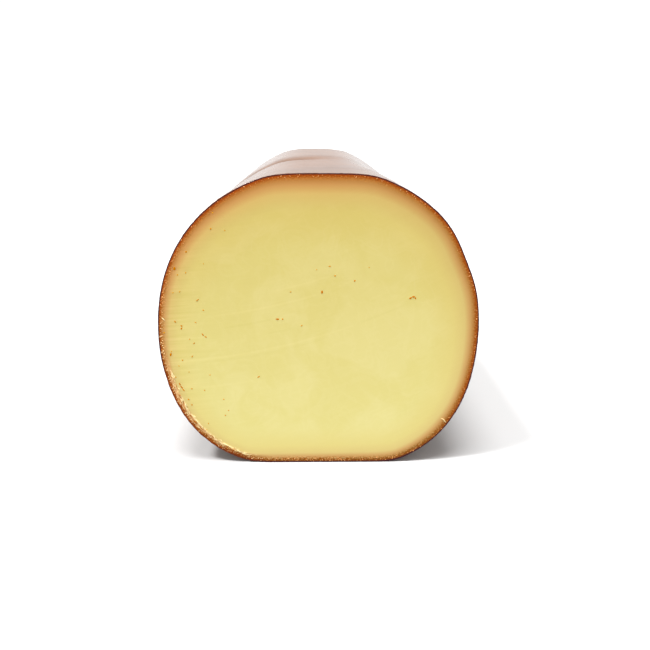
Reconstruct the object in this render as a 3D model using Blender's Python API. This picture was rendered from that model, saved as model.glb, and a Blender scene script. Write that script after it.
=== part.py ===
"""Smoked gouda: a log of cheese in a smoked brown rind, cut square across at its front end.

The log lies along Y on the flat that its own weight has given it. The cut face looks along -Y, and
the far end is domed and gathered into a small puckered nub. The origin is under the log's middle,
on the surface that it rests on. Lengths are in metres and angles are measured round the log's axis
from +X towards +Z, as seen from the cut end.
"""

from math import atan2, cos, degrees, exp, pi, radians, sin

import bmesh
import bpy
from mathutils import Matrix, Vector

MM = 0.001

# The whole log
LOG_LENGTH = 300 * MM
AXIS_HEIGHT = 50.8 * MM
CUT_Y = -LOG_LENGTH / 2

# The section: a round casing, squashed and then pressed flat below and on top
MEAN_RADIUS = 56.4 * MM
SQUASH = (  # (waves round the section, cosine part, sine part)
    (2, 0.67 * MM, -0.04 * MM),
    (3, -0.26 * MM, -0.66 * MM),
    (4, -1.16 * MM, 0.06 * MM),
    (5, -0.02 * MM, 0.34 * MM),
)
TOP_SAG_DEPTH = 2.9 * MM
TOP_SAG_ANGLE = 100.0
TOP_SAG_SPREAD = 80.0
TOP_HEIGHT = 101.8 * MM
FLAT_BLEND = 1.8 * MM
LEVEL_SINE = 0.05  # a ray from the axis nearer to level than this meets neither flat
DOWN = 270.0
RESTING_TURN = 20.0  # how far round from straight down the log lies flat along its whole body

# Dents and swells along the log: (name, depth, angle, spread, distance behind the cut, reach along
# the log, how far the place moves along the log for each degree round it)
RELIEF = (
    ("thumb dent", 0.86 * MM, 24.0, 9.6, 0 * MM, 95 * MM, 0.0),
    ("fuller low left", -0.4 * MM, 230.0, 22.0, 0 * MM, 80 * MM, 0.0),
    ("low left shoulder", 0.7 * MM, 127.0, 16.0, 84 * MM, 44 * MM, 0.0),
    ("low right shoulder", 4.4 * MM, 51.0, 21.0, 168 * MM, 92 * MM, 0.0),
    ("crease over the top", 1.6 * MM, 104.0, 28.0, 115 * MM, 10 * MM, -0.55 * MM),
    ("swell behind the crease", -1.8 * MM, 95.0, 31.0, 200 * MM, 52 * MM, 0.0),
    ("soft right side", 0.9 * MM, -8.0, 30.0, 150 * MM, 40 * MM, 0.4 * MM),
    ("soft left side", 0.8 * MM, 196.0, 26.0, 176 * MM, 45 * MM, 0.0),
)
SLOW_WAVES = (  # (height, wavelength along the log, waves round it, phase)
    (0.35 * MM, 170 * MM, 2, 5.3),
    (0.20 * MM, 93 * MM, 3, 0.7),
)
WAVES_BEGIN = 40 * MM

# The domed end, gathered into pleats
DOME_START = 248 * MM
DOME_LENGTH = 46 * MM
DOME_FULLNESS = 2.35
DOME_BLEND = 0.25  # share of the dome over which it takes over from the body
PLEATS = 12
PLEAT_DEPTH = 0.13
PLEAT_ONSET = 2.2
PLEAT_EASING = 0.35
PLEAT_WANDER = (  # (waves round the end, size, phase)
    (2, 0.9, 1.0),
    (5, 0.5, 0.0),
)
NUB_RADIUS = 7.5 * MM
NECK_SHARE = 0.84
NECK_LENGTH = 3.75 * MM
NUB_TIP = (  # (share of the nub's radius, distance from the tip)
    (1.0, 2.5 * MM),
    (0.72, 0.6 * MM),
    (0.3, 0.0 * MM),
)

# The torn rim, low on the left, where the knife left the cheese
TORN_FROM, TORN_TO = 192.0, 250.0
TORN_FADE = 14.0
LEDGE_WIDTH = 1.7 * MM
LEDGE_DEPTH = 0.55 * MM
CREST_WIDTH = 2.5 * MM
CREST_HEIGHT = 0.35 * MM
TORN_END = 4.2 * MM
RAGGEDNESS = 0.45
TEARS, TEAR_GROUPS = 31, 13  # waves round the whole rim
RIND_DEPTH = 1.7 * MM

# The mesh
SIDES = 96
BODY_STEP = 8 * MM
DOME_RINGS = 12
PASTE_RING = 14 * MM
SHARP_EDGE = 35.0


def smooth_min(a, b, blend):
    """The smaller of two lengths, rounded over where they cross."""
    share = min(max(0.5 + 0.5 * (b - a) / blend, 0.0), 1.0)
    return b * (1 - share) + a * share - blend * share * (1 - share)


def turn_between(angle, other):
    """The shorter turn from one angle to the other, in degrees."""
    return (angle - other + 180.0) % 360.0 - 180.0


def bell(x):
    return exp(-x * x)


def window(angle, start, end, fade):
    """1 between two angles, falling smoothly to 0 within fade degrees inside each of them."""
    middle = (start + end) / 2
    inside = (end - start) / 2 - abs(turn_between(angle, middle))
    share = min(max(inside / fade, 0.0), 1.0)
    return share * share * (3 - 2 * share)


def round_radius(angle):
    """Radius of the casing before it meets anything flat, with the sag of its top."""
    turn = radians(angle)
    radius = MEAN_RADIUS
    for waves, cosine, sine in SQUASH:
        radius += cosine * cos(waves * turn) + sine * sin(waves * turn)
    return radius - TOP_SAG_DEPTH * bell(turn_between(angle, TOP_SAG_ANGLE) / TOP_SAG_SPREAD)


def relief(angle, behind_cut):
    """How far the dents, swells and slow waves move the surface outwards."""
    height = 0.0
    for _, depth, centre, spread, distance, reach, slant in RELIEF:
        turn = turn_between(angle, centre)
        along = behind_cut - distance - slant * turn
        height -= depth * bell(turn / spread) * bell(along / reach)
    fade_in = 1 - bell(behind_cut / WAVES_BEGIN)
    for size, wavelength, waves, phase in SLOW_WAVES:
        wave = sin(2 * pi * behind_cut / wavelength + waves * radians(angle) + phase)
        height += size * wave * fade_in
    return height


def pressed_flat(radius, angle):
    """The radius with what would reach below the resting surface taken off."""
    upward = sin(radians(angle))
    if upward < -LEVEL_SINE:
        radius = smooth_min(radius, AXIS_HEIGHT / -upward, FLAT_BLEND)
    return radius


def casing_radius(angle, behind_cut):
    """Radius of the finished surface of the log's body, flat where it rests."""
    upward = sin(radians(angle))
    radius = round_radius(angle)
    if abs(turn_between(angle, DOWN)) < RESTING_TURN:
        return AXIS_HEIGHT / -upward
    if upward > LEVEL_SINE:
        radius = smooth_min(radius, (TOP_HEIGHT - AXIS_HEIGHT) / upward, FLAT_BLEND)
    return pressed_flat(radius + relief(angle, behind_cut), angle)


def place(angle, radius, y):
    turn = radians(angle)
    return Vector((radius * cos(turn), y, AXIS_HEIGHT + radius * sin(turn)))


def body_point(angle, behind_cut):
    return place(angle, casing_radius(angle, behind_cut), CUT_Y + behind_cut)


def pleat(angle):
    """-1 in the fold between two pleats, 1 on a pleat's back."""
    turn = radians(angle)
    wander = sum(size * sin(waves * turn + phase) for waves, size, phase in PLEAT_WANDER)
    return cos(PLEATS * turn + wander)


def dome_point(angle, share):
    """A point on the domed end: share runs from 0 at the shoulder to 1 where the nub begins."""
    bend = share * pi / 2
    narrowing = max(cos(bend), 0.0) ** (2 / DOME_FULLNESS)
    forward = (DOME_LENGTH - NECK_LENGTH) * sin(bend) ** (2 / DOME_FULLNESS)
    outline = casing_radius(angle, DOME_START)
    neck = NECK_SHARE * NUB_RADIUS
    radius = outline * narrowing * (1 - neck / MEAN_RADIUS) + neck
    radius *= 1 + PLEAT_DEPTH * pleat(angle) * share**PLEAT_ONSET * (1 - PLEAT_EASING * share)
    radius = outline + (radius - outline) * min(1.0, share / DOME_BLEND)
    return place(angle, pressed_flat(radius, angle), CUT_Y + DOME_START + forward)


def nub_point(angle, radius, y):
    return place(angle, radius * (1 + PLEAT_DEPTH * pleat(angle)), y)


def rim_point(angle, inset):
    """A point on the cut face, inset from the casing, with the ledge and crest of the torn rim."""
    torn = window(angle, TORN_FROM, TORN_TO, TORN_FADE)
    turn = radians(angle)
    ragged = 1 + RAGGEDNESS * sin(TEARS * turn) * sin(TEAR_GROUPS * turn)
    if inset <= LEDGE_WIDTH:
        forward = LEDGE_DEPTH * torn * ragged
    elif inset <= CREST_WIDTH:
        forward = -CREST_HEIGHT * torn * ragged
    else:
        forward = 0.0
    return place(angle, casing_radius(angle, 0.0) - inset, CUT_Y + forward)


def add_ring(bm, point_at):
    """A closed ring of edges round the log's axis, whose corners point_at(angle) places."""
    upright = Matrix.Rotation(pi / 2, 4, "X")
    made = bmesh.ops.create_circle(bm, segments=SIDES, radius=1.0, cap_ends=False, matrix=upright)
    for corner in made["verts"]:
        corner.co = point_at(degrees(atan2(corner.co.z, corner.co.x)))
    return list({edge for corner in made["verts"] for edge in corner.link_edges})


def ring_places():
    """The placing rule of each ring, from the middle of the cut face round to the nub's tip."""
    for inset in (PASTE_RING, TORN_END, CREST_WIDTH, LEDGE_WIDTH):
        yield lambda angle, inset=inset: rim_point(angle, inset)
    yield lambda angle: rim_point(angle, 0.0)
    steps = round(DOME_START / BODY_STEP)
    for step in range(1, steps + 1):
        yield lambda angle, behind=DOME_START * step / steps: body_point(angle, behind)
    for ring in range(1, DOME_RINGS + 1):
        yield lambda angle, share=ring / DOME_RINGS: dome_point(angle, share)
    for share, from_tip in NUB_TIP:
        y = CUT_Y + LOG_LENGTH - from_tip
        yield lambda angle, radius=NUB_RADIUS * share, y=y: nub_point(angle, radius, y)


def is_paste(face):
    """Whether a face shows the pale inside: on the cut face, and deeper than the rind."""
    centre = face.calc_center_median()
    angle = degrees(atan2(centre.z - AXIS_HEIGHT, centre.x))
    from_axis = Vector((centre.x, centre.z - AXIS_HEIGHT)).length
    on_cut = centre.y < CUT_Y + LEDGE_DEPTH
    return on_cut and from_axis < casing_radius(angle, 0.0) - RIND_DEPTH


def build_log():
    """One closed skin: rings bridged one to the next, and its two ends filled."""
    bm = bmesh.new()
    rings = [add_ring(bm, point_at) for point_at in ring_places()]
    for ring, following in zip(rings, rings[1:]):
        bmesh.ops.bridge_loops(bm, edges=ring + following)
    bmesh.ops.edgeloop_fill(bm, edges=rings[0])
    bmesh.ops.edgeloop_fill(bm, edges=rings[-1])
    bmesh.ops.recalc_face_normals(bm, faces=bm.faces)
    for face in bm.faces:
        face.material_index = 1 if is_paste(face) else 0
    mesh = bpy.data.meshes.new("smoked_gouda")
    bm.to_mesh(mesh)
    bm.free()
    mesh.shade_smooth()
    mesh.set_sharp_from_angle(angle=radians(SHARP_EDGE))
    return mesh


def make_material(name, color, roughness):
    material = bpy.data.materials.new(name)
    material.use_nodes = True
    material.diffuse_color = (*color, 1.0)
    shader = material.node_tree.nodes["Principled BSDF"]
    shader.inputs["Base Color"].default_value = (*color, 1.0)
    shader.inputs["Roughness"].default_value = roughness
    shader.inputs["Metallic"].default_value = 0.0
    return material


def clear_scene():
    for obj in list(bpy.data.objects):
        bpy.data.objects.remove(obj, do_unlink=True)


def main():
    clear_scene()
    mesh = build_log()
    mesh.materials.append(make_material("smoked rind", (0.28, 0.10, 0.035), 0.35))
    mesh.materials.append(make_material("pale yellow paste", (0.80, 0.70, 0.26), 0.5))
    log = bpy.data.objects.new("smoked_gouda", mesh)
    bpy.context.scene.collection.objects.link(log)


main()
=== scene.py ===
"""Smoked gouda: the finished looks of a cut log of smoked cheese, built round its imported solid.

The log follows the solid's own rules with a finer mesh, and adds what the solid is too coarse for:
the torn rim, the shreds and crumbs that the knife left, the wrinkles of the rind and the puckers of
its gathered end. Lengths are in metres. Angles are in degrees, measured round the log's axis from
+X towards +Z, as seen from the cut end. "Depth" is how far a point of the cut face lies inside the
rind, and "behind" is how far a point of the rind lies behind the cut.
"""

import random
from functools import partial
from math import atan2, cos, degrees, exp, hypot, pi, radians, sin

import bmesh
import bpy
from bpy.props import FloatProperty, FloatVectorProperty, IntProperty, PointerProperty
from mathutils import Matrix, Vector, noise


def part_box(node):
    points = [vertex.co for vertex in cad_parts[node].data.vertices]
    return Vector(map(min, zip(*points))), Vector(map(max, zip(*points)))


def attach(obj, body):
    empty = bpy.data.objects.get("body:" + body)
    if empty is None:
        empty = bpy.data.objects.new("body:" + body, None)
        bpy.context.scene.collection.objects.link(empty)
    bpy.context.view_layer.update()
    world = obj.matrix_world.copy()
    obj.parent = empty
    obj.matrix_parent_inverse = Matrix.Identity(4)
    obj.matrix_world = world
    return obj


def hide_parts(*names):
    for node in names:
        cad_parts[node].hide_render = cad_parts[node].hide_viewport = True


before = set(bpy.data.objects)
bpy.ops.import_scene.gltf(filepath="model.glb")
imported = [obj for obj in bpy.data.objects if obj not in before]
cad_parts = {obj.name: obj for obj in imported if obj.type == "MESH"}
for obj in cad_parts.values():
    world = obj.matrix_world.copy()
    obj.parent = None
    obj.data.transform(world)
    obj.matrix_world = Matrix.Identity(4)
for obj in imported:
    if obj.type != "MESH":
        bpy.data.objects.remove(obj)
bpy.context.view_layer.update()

bl_info = {
    "name": "Smoked gouda",
    "version": (1, 0, 0),
    "blender": (4, 5, 0),
    "location": "View3D > Sidebar > Smoked gouda",
    "description": "A cut log of smoked gouda with its rind, paste, shreds and crumbs",
    "category": "Object",
}

NODE = "smoked_gouda"
BODY = "root"
PASTE_PLACE = 1  # of the paste among the log's materials, after the rind
SOLID_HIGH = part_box(NODE)[1]
MM = 0.001
DOWN = 270.0  # the angle of the log's underside
SHARP_TURN = radians(50)  # edges that turn more than this stay sharp

# The section: a round casing, squashed and then pressed flat below and on top
AXIS_HEIGHT = 50.8 * MM
MEAN_RADIUS = 56.4 * MM
SQUASH = (  # (waves round the section, cosine part, sine part)
    (2, 0.67 * MM, -0.04 * MM),
    (3, -0.26 * MM, -0.66 * MM),
    (4, -1.16 * MM, 0.06 * MM),
    (5, -0.02 * MM, 0.34 * MM),
)
TOP_SAG_DEPTH = 2.9 * MM
TOP_SAG_ANGLE = 100.0
TOP_SAG_SPREAD = 80.0
TOP_HEIGHT = 101.8 * MM
FLAT_BLEND = 1.8 * MM
LEVEL_SINE = 0.05  # nothing flat reaches the rind where the sine of its angle is smaller
RESTING_TURN = 20.0  # how far round from its underside the rind lies on the floor
FREE_TURN = 34.0  # from how far round it is quite free of the floor

# Dents and swells along the log: (depth, angle, spread, distance behind the cut, reach along the
# log, how far the place moves along the log for each degree round it)
RELIEF = (
    (0.86 * MM, 24.0, 9.6, 0 * MM, 95 * MM, 0.0),
    (-0.4 * MM, 230.0, 22.0, 0 * MM, 80 * MM, 0.0),
    (0.7 * MM, 127.0, 16.0, 84 * MM, 44 * MM, 0.0),
    (4.4 * MM, 51.0, 21.0, 168 * MM, 92 * MM, 0.0),
    (1.6 * MM, 104.0, 28.0, 115 * MM, 10 * MM, -0.55 * MM),
    (-1.8 * MM, 95.0, 31.0, 200 * MM, 52 * MM, 0.0),
    (0.9 * MM, -8.0, 30.0, 150 * MM, 40 * MM, 0.4 * MM),
    (0.8 * MM, 196.0, 26.0, 176 * MM, 45 * MM, 0.0),
)
SLOW_WAVES = (  # (height, wavelength along the log, waves round it, phase)
    (0.35 * MM, 170 * MM, 2, 5.3),
    (0.20 * MM, 93 * MM, 3, 0.7),
)
WAVES_BEGIN = 40 * MM

# A sharp crease of the casing across the top: its depth, and the other parts as in RELIEF
CREASE_DEPTH = 1.1 * MM
CREASE_PLACE = (118.0, 18.0, 108.4 * MM, 5.0 * MM, -0.55 * MM)

# The domed end, gathered into pleats with small puckers between them. The depths of both are shares
# of the radius, and their onset and easing go by the share of the way to the nub
DOME_START = 248 * MM
DOME_LENGTH = 46 * MM
DOME_FULLNESS = 2.35
DOME_BLEND = 0.25
PLEATS = 12
PLEAT_DEPTH = 0.13
PLEAT_ONSET = 2.2
PLEAT_EASING = 0.35
PLEAT_WANDER = ((2, 0.9, 1.0), (5, 0.5, 0.0))  # (waves round the end, size, phase)
PUCKERS = 17
PUCKER_DEPTH = 0.028
PUCKER_ONSET = (0.45, 0.95)
PUCKER_SWAY, PUCKER_SHARPNESS = 2.2, 0.7
PUCKER_SHADE = 6  # how much darker a pucker is than its depth alone would make it
NUB_RADIUS = 7.5 * MM
NECK_SHARE = 0.84
NECK_LENGTH = 3.75 * MM
NUB_PROFILE = (  # from the neck to the tip: (share of the nub's radius, distance from the tip)
    (0.80, 8.6 * MM),
    (0.80, 7.6 * MM),
    (0.86, 6.0 * MM),
    (0.95, 4.2 * MM),
    (1.00, 2.8 * MM),
    (0.97, 1.7 * MM),
    (0.85, 0.85 * MM),
    (0.66, 0.35 * MM),
    (0.42, 0.08 * MM),
    (0.20, 0.25 * MM),
)

# The mesh is a skin over rings, which lie closest where the forms are finest. Rings of the cut face
# lie at these depths, and the first rings of the rind this far behind the cut, in millimetres
RIM_DEPTHS = (0, 0.15, 0.35, 0.6, 0.9, 1.2, 1.5, 1.75, 2, 2.25, 2.5, 2.75, 3, 3.3, 3.7, 4.3, 5)
NEAR_DEPTHS = (6.0, 7.5, 9.5, 12.0, 14.5)
EDGE_DISTANCES = (0.15, 0.4, 0.8, 1.3, 2.0, 3.0)
NEAR_DISTANCES = (4.5, 6.5, 9.0)
NEAR_END = NEAR_DEPTHS[-1] * MM  # from here on the rings close in on the middle of the face
PASTE_STEP = 2.0 * MM
BODY_STRETCHES = (  # (from, to, rings): the crease needs the closest rings
    (9 * MM, 60 * MM, 34),
    (60 * MM, 96 * MM, 12),
    (96 * MM, 130 * MM, 28),
    (130 * MM, DOME_START, 42),
)
DOME_RINGS = 44
TUBE_STEP = 0.1  # between the rings of the straight tube that the skin starts as
FINE_SIDES, MIDDLE_SIDES, BODY_SIDES, NUB_SIDES = 1152, 576, 288, 144
PASTE_SIDES = (36,) * 2 + (144,) * 6  # of the rings nearest the middle of the face

# What a corner of the skin carries for its finish: its depth in millimetres, that depth as the
# smoke sees it, how torn the rim is there, the cream of torn paste, and how deep in a fold it is,
# which the rind's colour darkens as painted shade
LOOKS = ("rind_depth", "smoke_depth", "torn", "cream", "fold")


def measure(name, description, default, unit="LENGTH"):
    return FloatProperty(name=name, description=description, default=default, unit=unit)


def amount(name, description, default, least=0.0):
    return FloatProperty(name=name, description=description, default=default, min=least)


def count(name, description, default):
    return IntProperty(name=name, description=description, default=default, min=0)


def colour(name, description, default):
    return FloatVectorProperty(
        name=name,
        description=description,
        default=default,
        subtype="COLOR_GAMMA",
        size=3,
        min=0,
        max=1,
    )


def shade(red, green, blue):
    """A screen colour, from parts of 255 to parts of 1."""
    return (red / 255, green / 255, blue / 255)


class GoudaSizes(bpy.types.PropertyGroup):
    """Sizes of the log and of the finer forms on it."""

    length: measure("Length", "From the cut face to the tip of the gathered end", 2 * SOLID_HIGH.y)
    smoke_reach: amount("Smoke reach", "How deep the smoke has browned the paste", 1.0, 0.1)
    casing_line: measure("Casing line", "Thickness of the skin at the edge of the cut", 0.38 * MM)
    ledge: measure("Torn ledge", "How far the rind is broken back along the torn rim", 0.55 * MM)
    crest: measure("Torn crest", "How far the torn paste stands out of the cut face", 0.35 * MM)
    crumb: measure("Crumb thickness", "How far a crumb stands out of the cut face", 0.14 * MM)
    shreds: count("Shreds", "Number of thin shreds that lie along the torn rim", 110)
    flecks: count("Flecks", "Number of places on the cut rind that may get a fleck of paste", 1000)
    seed: count("Seed", "Start of the random draws", 7)


class GoudaColours(bpy.types.PropertyGroup):
    """Colours of the log and of what clings to it."""

    paste: colour("Paste", "Middle of the cut face", shade(216, 203, 129))
    honey: colour("Honey", "Paste that the smoke has reached", shade(214, 197, 120))
    tan: colour("Tan", "Paste close to the rind", shade(195, 152, 91))
    rust: colour("Rust", "Rind on the cut face", shade(144, 66, 12))
    casing_line: colour("Casing line", "Skin at the edge of the cut", shade(58, 24, 30))
    rind: colour("Rind", "Outside of the rind", shade(116, 71, 29))
    rind_dark: colour("Dark rind", "Where the smoke has coloured it most", shade(87, 51, 20))
    cream: colour("Cream", "Torn shreds and flecks of paste", shade(234, 219, 165))
    crumb: colour("Crumb", "Thick crumbs and shreds of rind", shade(172, 102, 2))
    thin_crumb: colour("Thin crumb", "Crumbs that the paste shows through", shade(194, 134, 20))


class GoudaStage(bpy.types.PropertyGroup):
    """Floor, light and camera."""

    surroundings: amount("Surroundings", "Brightness of the room all round", 0.72)
    backdrop: amount("Backdrop", "Brightness of the white wall behind the log", 1.02)
    overhead: amount("Overhead light", "Strength of the wide light overhead", 3.2)
    overhead_width: measure(
        "Overhead width", "How wide the light overhead looks from the log", radians(31), "ROTATION"
    )
    side: amount("Side light", "Strength of the smaller light at the left", 2.7)
    side_width: measure(
        "Side width", "How wide the side light looks from the log", radians(9), "ROTATION"
    )
    camera_distance: measure("Camera distance", "From the cut face to the camera", 274 * MM)
    camera_height: measure("Camera height", "Of the camera over the floor", 117.8 * MM)


def smooth_min(a, b, blend):
    """The smaller of two lengths, rounded over where they cross."""
    share = min(max(0.5 + 0.5 * (b - a) / blend, 0.0), 1.0)
    return b * (1 - share) + a * share - blend * share * (1 - share)


def turn_between(angle, other):
    """The shorter turn from one angle to the other."""
    return (angle - other + 180.0) % 360.0 - 180.0


def bell(x, middle=0.0, width=1.0):
    """1 in the middle, falling away on both sides, to about a third at one width from it."""
    share = (x - middle) / width
    return exp(-share * share)


def rise(x, start, end):
    """0 before start, 1 after end, and a smooth step between them."""
    share = min(max((x - start) / (end - start), 0.0), 1.0)
    return share * share * (3 - 2 * share)


def window(angle, start, end, fade):
    """1 between two angles, falling smoothly to 0 within fade degrees inside each of them."""
    inside = (end - start) / 2 - abs(turn_between(angle, (start + end) / 2))
    return rise(inside, 0.0, fade)


def round_radius(angle):
    """Radius of the casing before it meets anything flat, with the sag of its top."""
    turn = radians(angle)
    radius = MEAN_RADIUS
    for waves, cosine, sine in SQUASH:
        radius += cosine * cos(waves * turn) + sine * sin(waves * turn)
    return radius - TOP_SAG_DEPTH * bell(turn_between(angle, TOP_SAG_ANGLE) / TOP_SAG_SPREAD)


def dent(angle, behind, depth, centre, spread, distance, reach, slant):
    """How deep one dent, as a row of RELIEF gives it, presses the rind in here."""
    turn = turn_between(angle, centre)
    along = behind - distance - slant * turn
    return depth * bell(turn / spread) * bell(along / reach)


def dents_and_swells(angle, behind):
    """How far the dents, swells and slow waves move the rind outwards."""
    height = 0.0
    for row in RELIEF:
        height -= dent(angle, behind, *row)
    fade_in = 1 - bell(behind / WAVES_BEGIN)
    for size, wavelength, waves, phase in SLOW_WAVES:
        wave = sin(2 * pi * behind / wavelength + waves * radians(angle) + phase)
        height += size * wave * fade_in
    return height


def pressed_flat(radius, angle):
    """The radius with what would reach below the resting surface taken off."""
    upward = sin(radians(angle))
    if upward < -LEVEL_SINE:
        radius = smooth_min(radius, AXIS_HEIGHT / -upward, FLAT_BLEND)
    return radius


def casing_radius(angle, behind):
    """Radius of the rind, flat where it rests."""
    upward = sin(radians(angle))
    radius = round_radius(angle)
    if abs(turn_between(angle, DOWN)) < RESTING_TURN:
        return AXIS_HEIGHT / -upward
    if upward > LEVEL_SINE:
        radius = smooth_min(radius, (TOP_HEIGHT - AXIS_HEIGHT) / upward, FLAT_BLEND)
    return pressed_flat(radius + dents_and_swells(angle, behind), angle)


def waves_round(angle, mean, once, once_phase, twice, twice_phase):
    """A share that varies with one wave and with two waves round the log."""
    first = once * cos(radians(angle + once_phase))
    return mean + first + twice * cos(radians(2 * angle + twice_phase))


def place(angle, radius, y):
    """The point at an angle round the log's axis and a distance from it."""
    turn = radians(angle)
    return Vector((radius * cos(turn), y, AXIS_HEIGHT + radius * sin(turn)))


def pleat(angle):
    """-1 in the fold between two pleats, 1 on a pleat's back."""
    turn = radians(angle)
    wander = sum(size * sin(waves * turn + phase) for waves, size, phase in PLEAT_WANDER)
    return cos(PLEATS * turn + wander)


def off_the_floor(angle):
    """0 where the log rests and 1 where its rind is free."""
    return rise(abs(turn_between(angle, DOWN)), RESTING_TURN, FREE_TURN)


def rind_looks(fold, torn=0.0):
    """What a corner outside the cut face carries for its finish."""
    return dict.fromkeys(LOOKS, 0.0) | {"fold": fold, "torn": torn}


class Log:
    """Every point of the log's surface, with what its finish needs to know there."""

    SLOPE_STEP = 1.5  # degrees to each side over which the outline's slope is taken
    TORN_FROM, TORN_TO, TORN_FADE = 190.0, 252.0, 12.0
    RIPPED_FROM = 201.0  # within the torn rim, where its paste is ripped up into a ridge too

    # How deep the smoke went round the log, close to the rind and further in, as waves_round takes
    # it, the depth where one gives way to the other, and how much less it is round the underside
    SMOKE_NEAR = (0.93, 0.18, 30, 0.10, 88)
    SMOKE_FAR = (1.12, 0.44, -79, 0.10, 174)
    SMOKE_CHANGE = 3.0 * MM
    LESS_BELOW, LESS_ANGLE, LESS_SPREAD = 0.13, DOWN + 8.0, 22.0

    # Bands of the torn rim, in millimetres: (depth, half width)
    RIDGE, GROOVE, SHELF = (2.7, 0.30), (2.3, 0.16), (1.85, 0.38)

    # The depths over which the ledge and the grain of the cut rind fade out
    LEDGE_FADE = (0.8 * MM, 2.4 * MM)
    GRAIN_FADE = (1.2 * MM, 2.6 * MM)
    GRAIN = 0.07 * MM
    BROAD_LUMPS, FINE_LUMPS = 2.6, 0.75  # sizes in millimetres

    # Fine unevenness of the rind, in millimetres
    RIND_LUMPS = ((0.10, 15.0), (0.04, 5.0))  # (height, size)
    WRINKLED = (30.0, 165.0, 40.0)  # the stretch round the log, as window takes it
    WRINKLE_HEIGHT, WRINKLE_SIZE = 0.20, (24.0, 5.5, 24.0)
    FRILL_HEIGHT, FRILL_SIZE = 0.10, 1.6
    WRINKLE_REACH = 85 * MM
    FRILL_REACH = 0.9 * MM
    EDGE_REACH = 2.5 * MM  # how far back the rind's edge follows the relief of the rim

    def __init__(self, sizes):
        self.length = sizes.length
        self.cut_y = -sizes.length / 2
        self.ledge = sizes.ledge
        self.crest = sizes.crest
        self.smoke_reach = sizes.smoke_reach

    def edge(self, angle):
        """A point of the outline of the cut."""
        return place(angle, casing_radius(angle, 0.0), self.cut_y)

    def inward(self, angle):
        """The direction square to the outline of the cut, towards its middle."""
        along = self.edge(angle + self.SLOPE_STEP) - self.edge(angle - self.SLOPE_STEP)
        return Vector((-along.z, 0.0, along.x)).normalized()

    def smoke_depth(self, angle, depth):
        """Depth as the smoke sees it: it went deeper on top than below, where the log lay."""
        near = waves_round(angle, *self.SMOKE_NEAR)
        far = waves_round(angle, *self.SMOKE_FAR)
        near -= self.LESS_BELOW * bell(turn_between(angle, self.LESS_ANGLE) / self.LESS_SPREAD)
        share = depth**2 / (depth**2 + self.SMOKE_CHANGE**2)
        return depth / (near + (far - near) * share) / self.smoke_reach

    def torn(self, angle):
        """1 along the torn rim, low on the left, and 0 elsewhere."""
        return window(angle, self.TORN_FROM, self.TORN_TO, self.TORN_FADE)

    def cream(self, angle, depth):
        """1 on torn ridges of pale paste, -1 in the brown between them."""
        # Noise by the place along the rim and the depth in it, both in millimetres
        along = radians(angle) * MEAN_RADIUS / MM
        inwards = depth / MM + 0.22 * noise.noise(Vector((along / 2.2, 5.0, 0.0)))
        bits = noise.noise(Vector((along / 0.45, inwards / 0.30, 3.0)))
        runs = noise.noise(Vector((along / 1.8, inwards / 0.6, 8.0)))
        ridge = bell(inwards, *self.RIDGE) * (0.55 + 0.8 * runs + 0.8 * bits)
        groove = bell(inwards, *self.GROOVE) * (0.35 - 0.9 * runs)
        shelf = bell(inwards, *self.SHELF) * 1.2 * bits
        ripped = window(angle, self.RIPPED_FROM, self.TORN_TO, self.TORN_FADE)
        return ripped * (ridge - groove) + self.torn(angle) * shelf

    def rim_forward(self, angle, depth):
        """How far a point near the rim lies behind the plane of the cut."""
        torn = self.torn(angle)
        here = Vector((cos(radians(angle)), sin(radians(angle)), 0.0)) * (MEAN_RADIUS / MM)
        here.z = depth / MM
        broad = noise.noise(here / self.BROAD_LUMPS)
        fine = noise.noise(here / self.FINE_LUMPS + Vector((7.0, 3.0, 1.0)))
        ledge = self.ledge * torn * (1 + 0.6 * broad) * (1 - rise(depth, *self.LEDGE_FADE))
        crest = self.crest * max(self.cream(angle, depth), 0.0) * (1 + 0.5 * broad)
        grain = self.GRAIN * fine * (1 - rise(depth, *self.GRAIN_FADE)) * (0.6 + torn)
        return ledge - crest + grain

    def face_point(self, angle, depth):
        """A point of the cut face: set in from the outline near the rim, then drawn inwards."""
        point = self.edge(angle) + self.inward(angle) * min(depth, NEAR_END)
        middle = Vector((0.0, point.y, AXIS_HEIGHT))
        if depth > NEAR_END:
            point = middle.lerp(point, 1 - (depth - NEAR_END) / (MEAN_RADIUS - NEAR_END))
        point.y += self.rim_forward(angle, depth)
        looks = {
            "rind_depth": depth / MM,
            "smoke_depth": self.smoke_depth(angle, depth) / MM,
            "torn": self.torn(angle),
            "cream": self.cream(angle, depth),
            "fold": 0.0,
        }
        return point, looks

    def crease(self, angle, behind):
        """1 along the bottom of the crease across the top."""
        return dent(angle, behind, 1.0, *CREASE_PLACE)

    def wrinkles(self, angle, behind):
        """Fine unevenness of the rind: soft lumps, and cross wrinkles over the top near the cut."""
        here = place(angle, MEAN_RADIUS, behind) / MM
        lumps = sum(height * noise.noise(here / size) for height, size in self.RIND_LUMPS)
        stretched = Vector([part / size for part, size in zip(here, self.WRINKLE_SIZE)])
        near_top = window(angle, *self.WRINKLED) * bell(behind / self.WRINKLE_REACH)
        crosswise = (0.5 - abs(noise.noise(stretched))) * near_top
        frill = bell(behind / self.FRILL_REACH) * (0.5 + noise.noise(here / self.FRILL_SIZE))
        raised = lumps + self.WRINKLE_HEIGHT * crosswise + self.FRILL_HEIGHT * frill
        return raised * MM * off_the_floor(angle) - CREASE_DEPTH * self.crease(angle, behind)

    def rind_point(self, angle, behind):
        """A point of the rind, whose edge follows the relief of the rim."""
        radius = casing_radius(angle, behind) + self.wrinkles(angle, behind)
        point = place(angle, radius, self.cut_y + behind)
        point.y += self.rim_forward(angle, 0.0) * bell(behind / self.EDGE_REACH)
        return point, rind_looks(self.crease(angle, behind), self.torn(angle))

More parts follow.
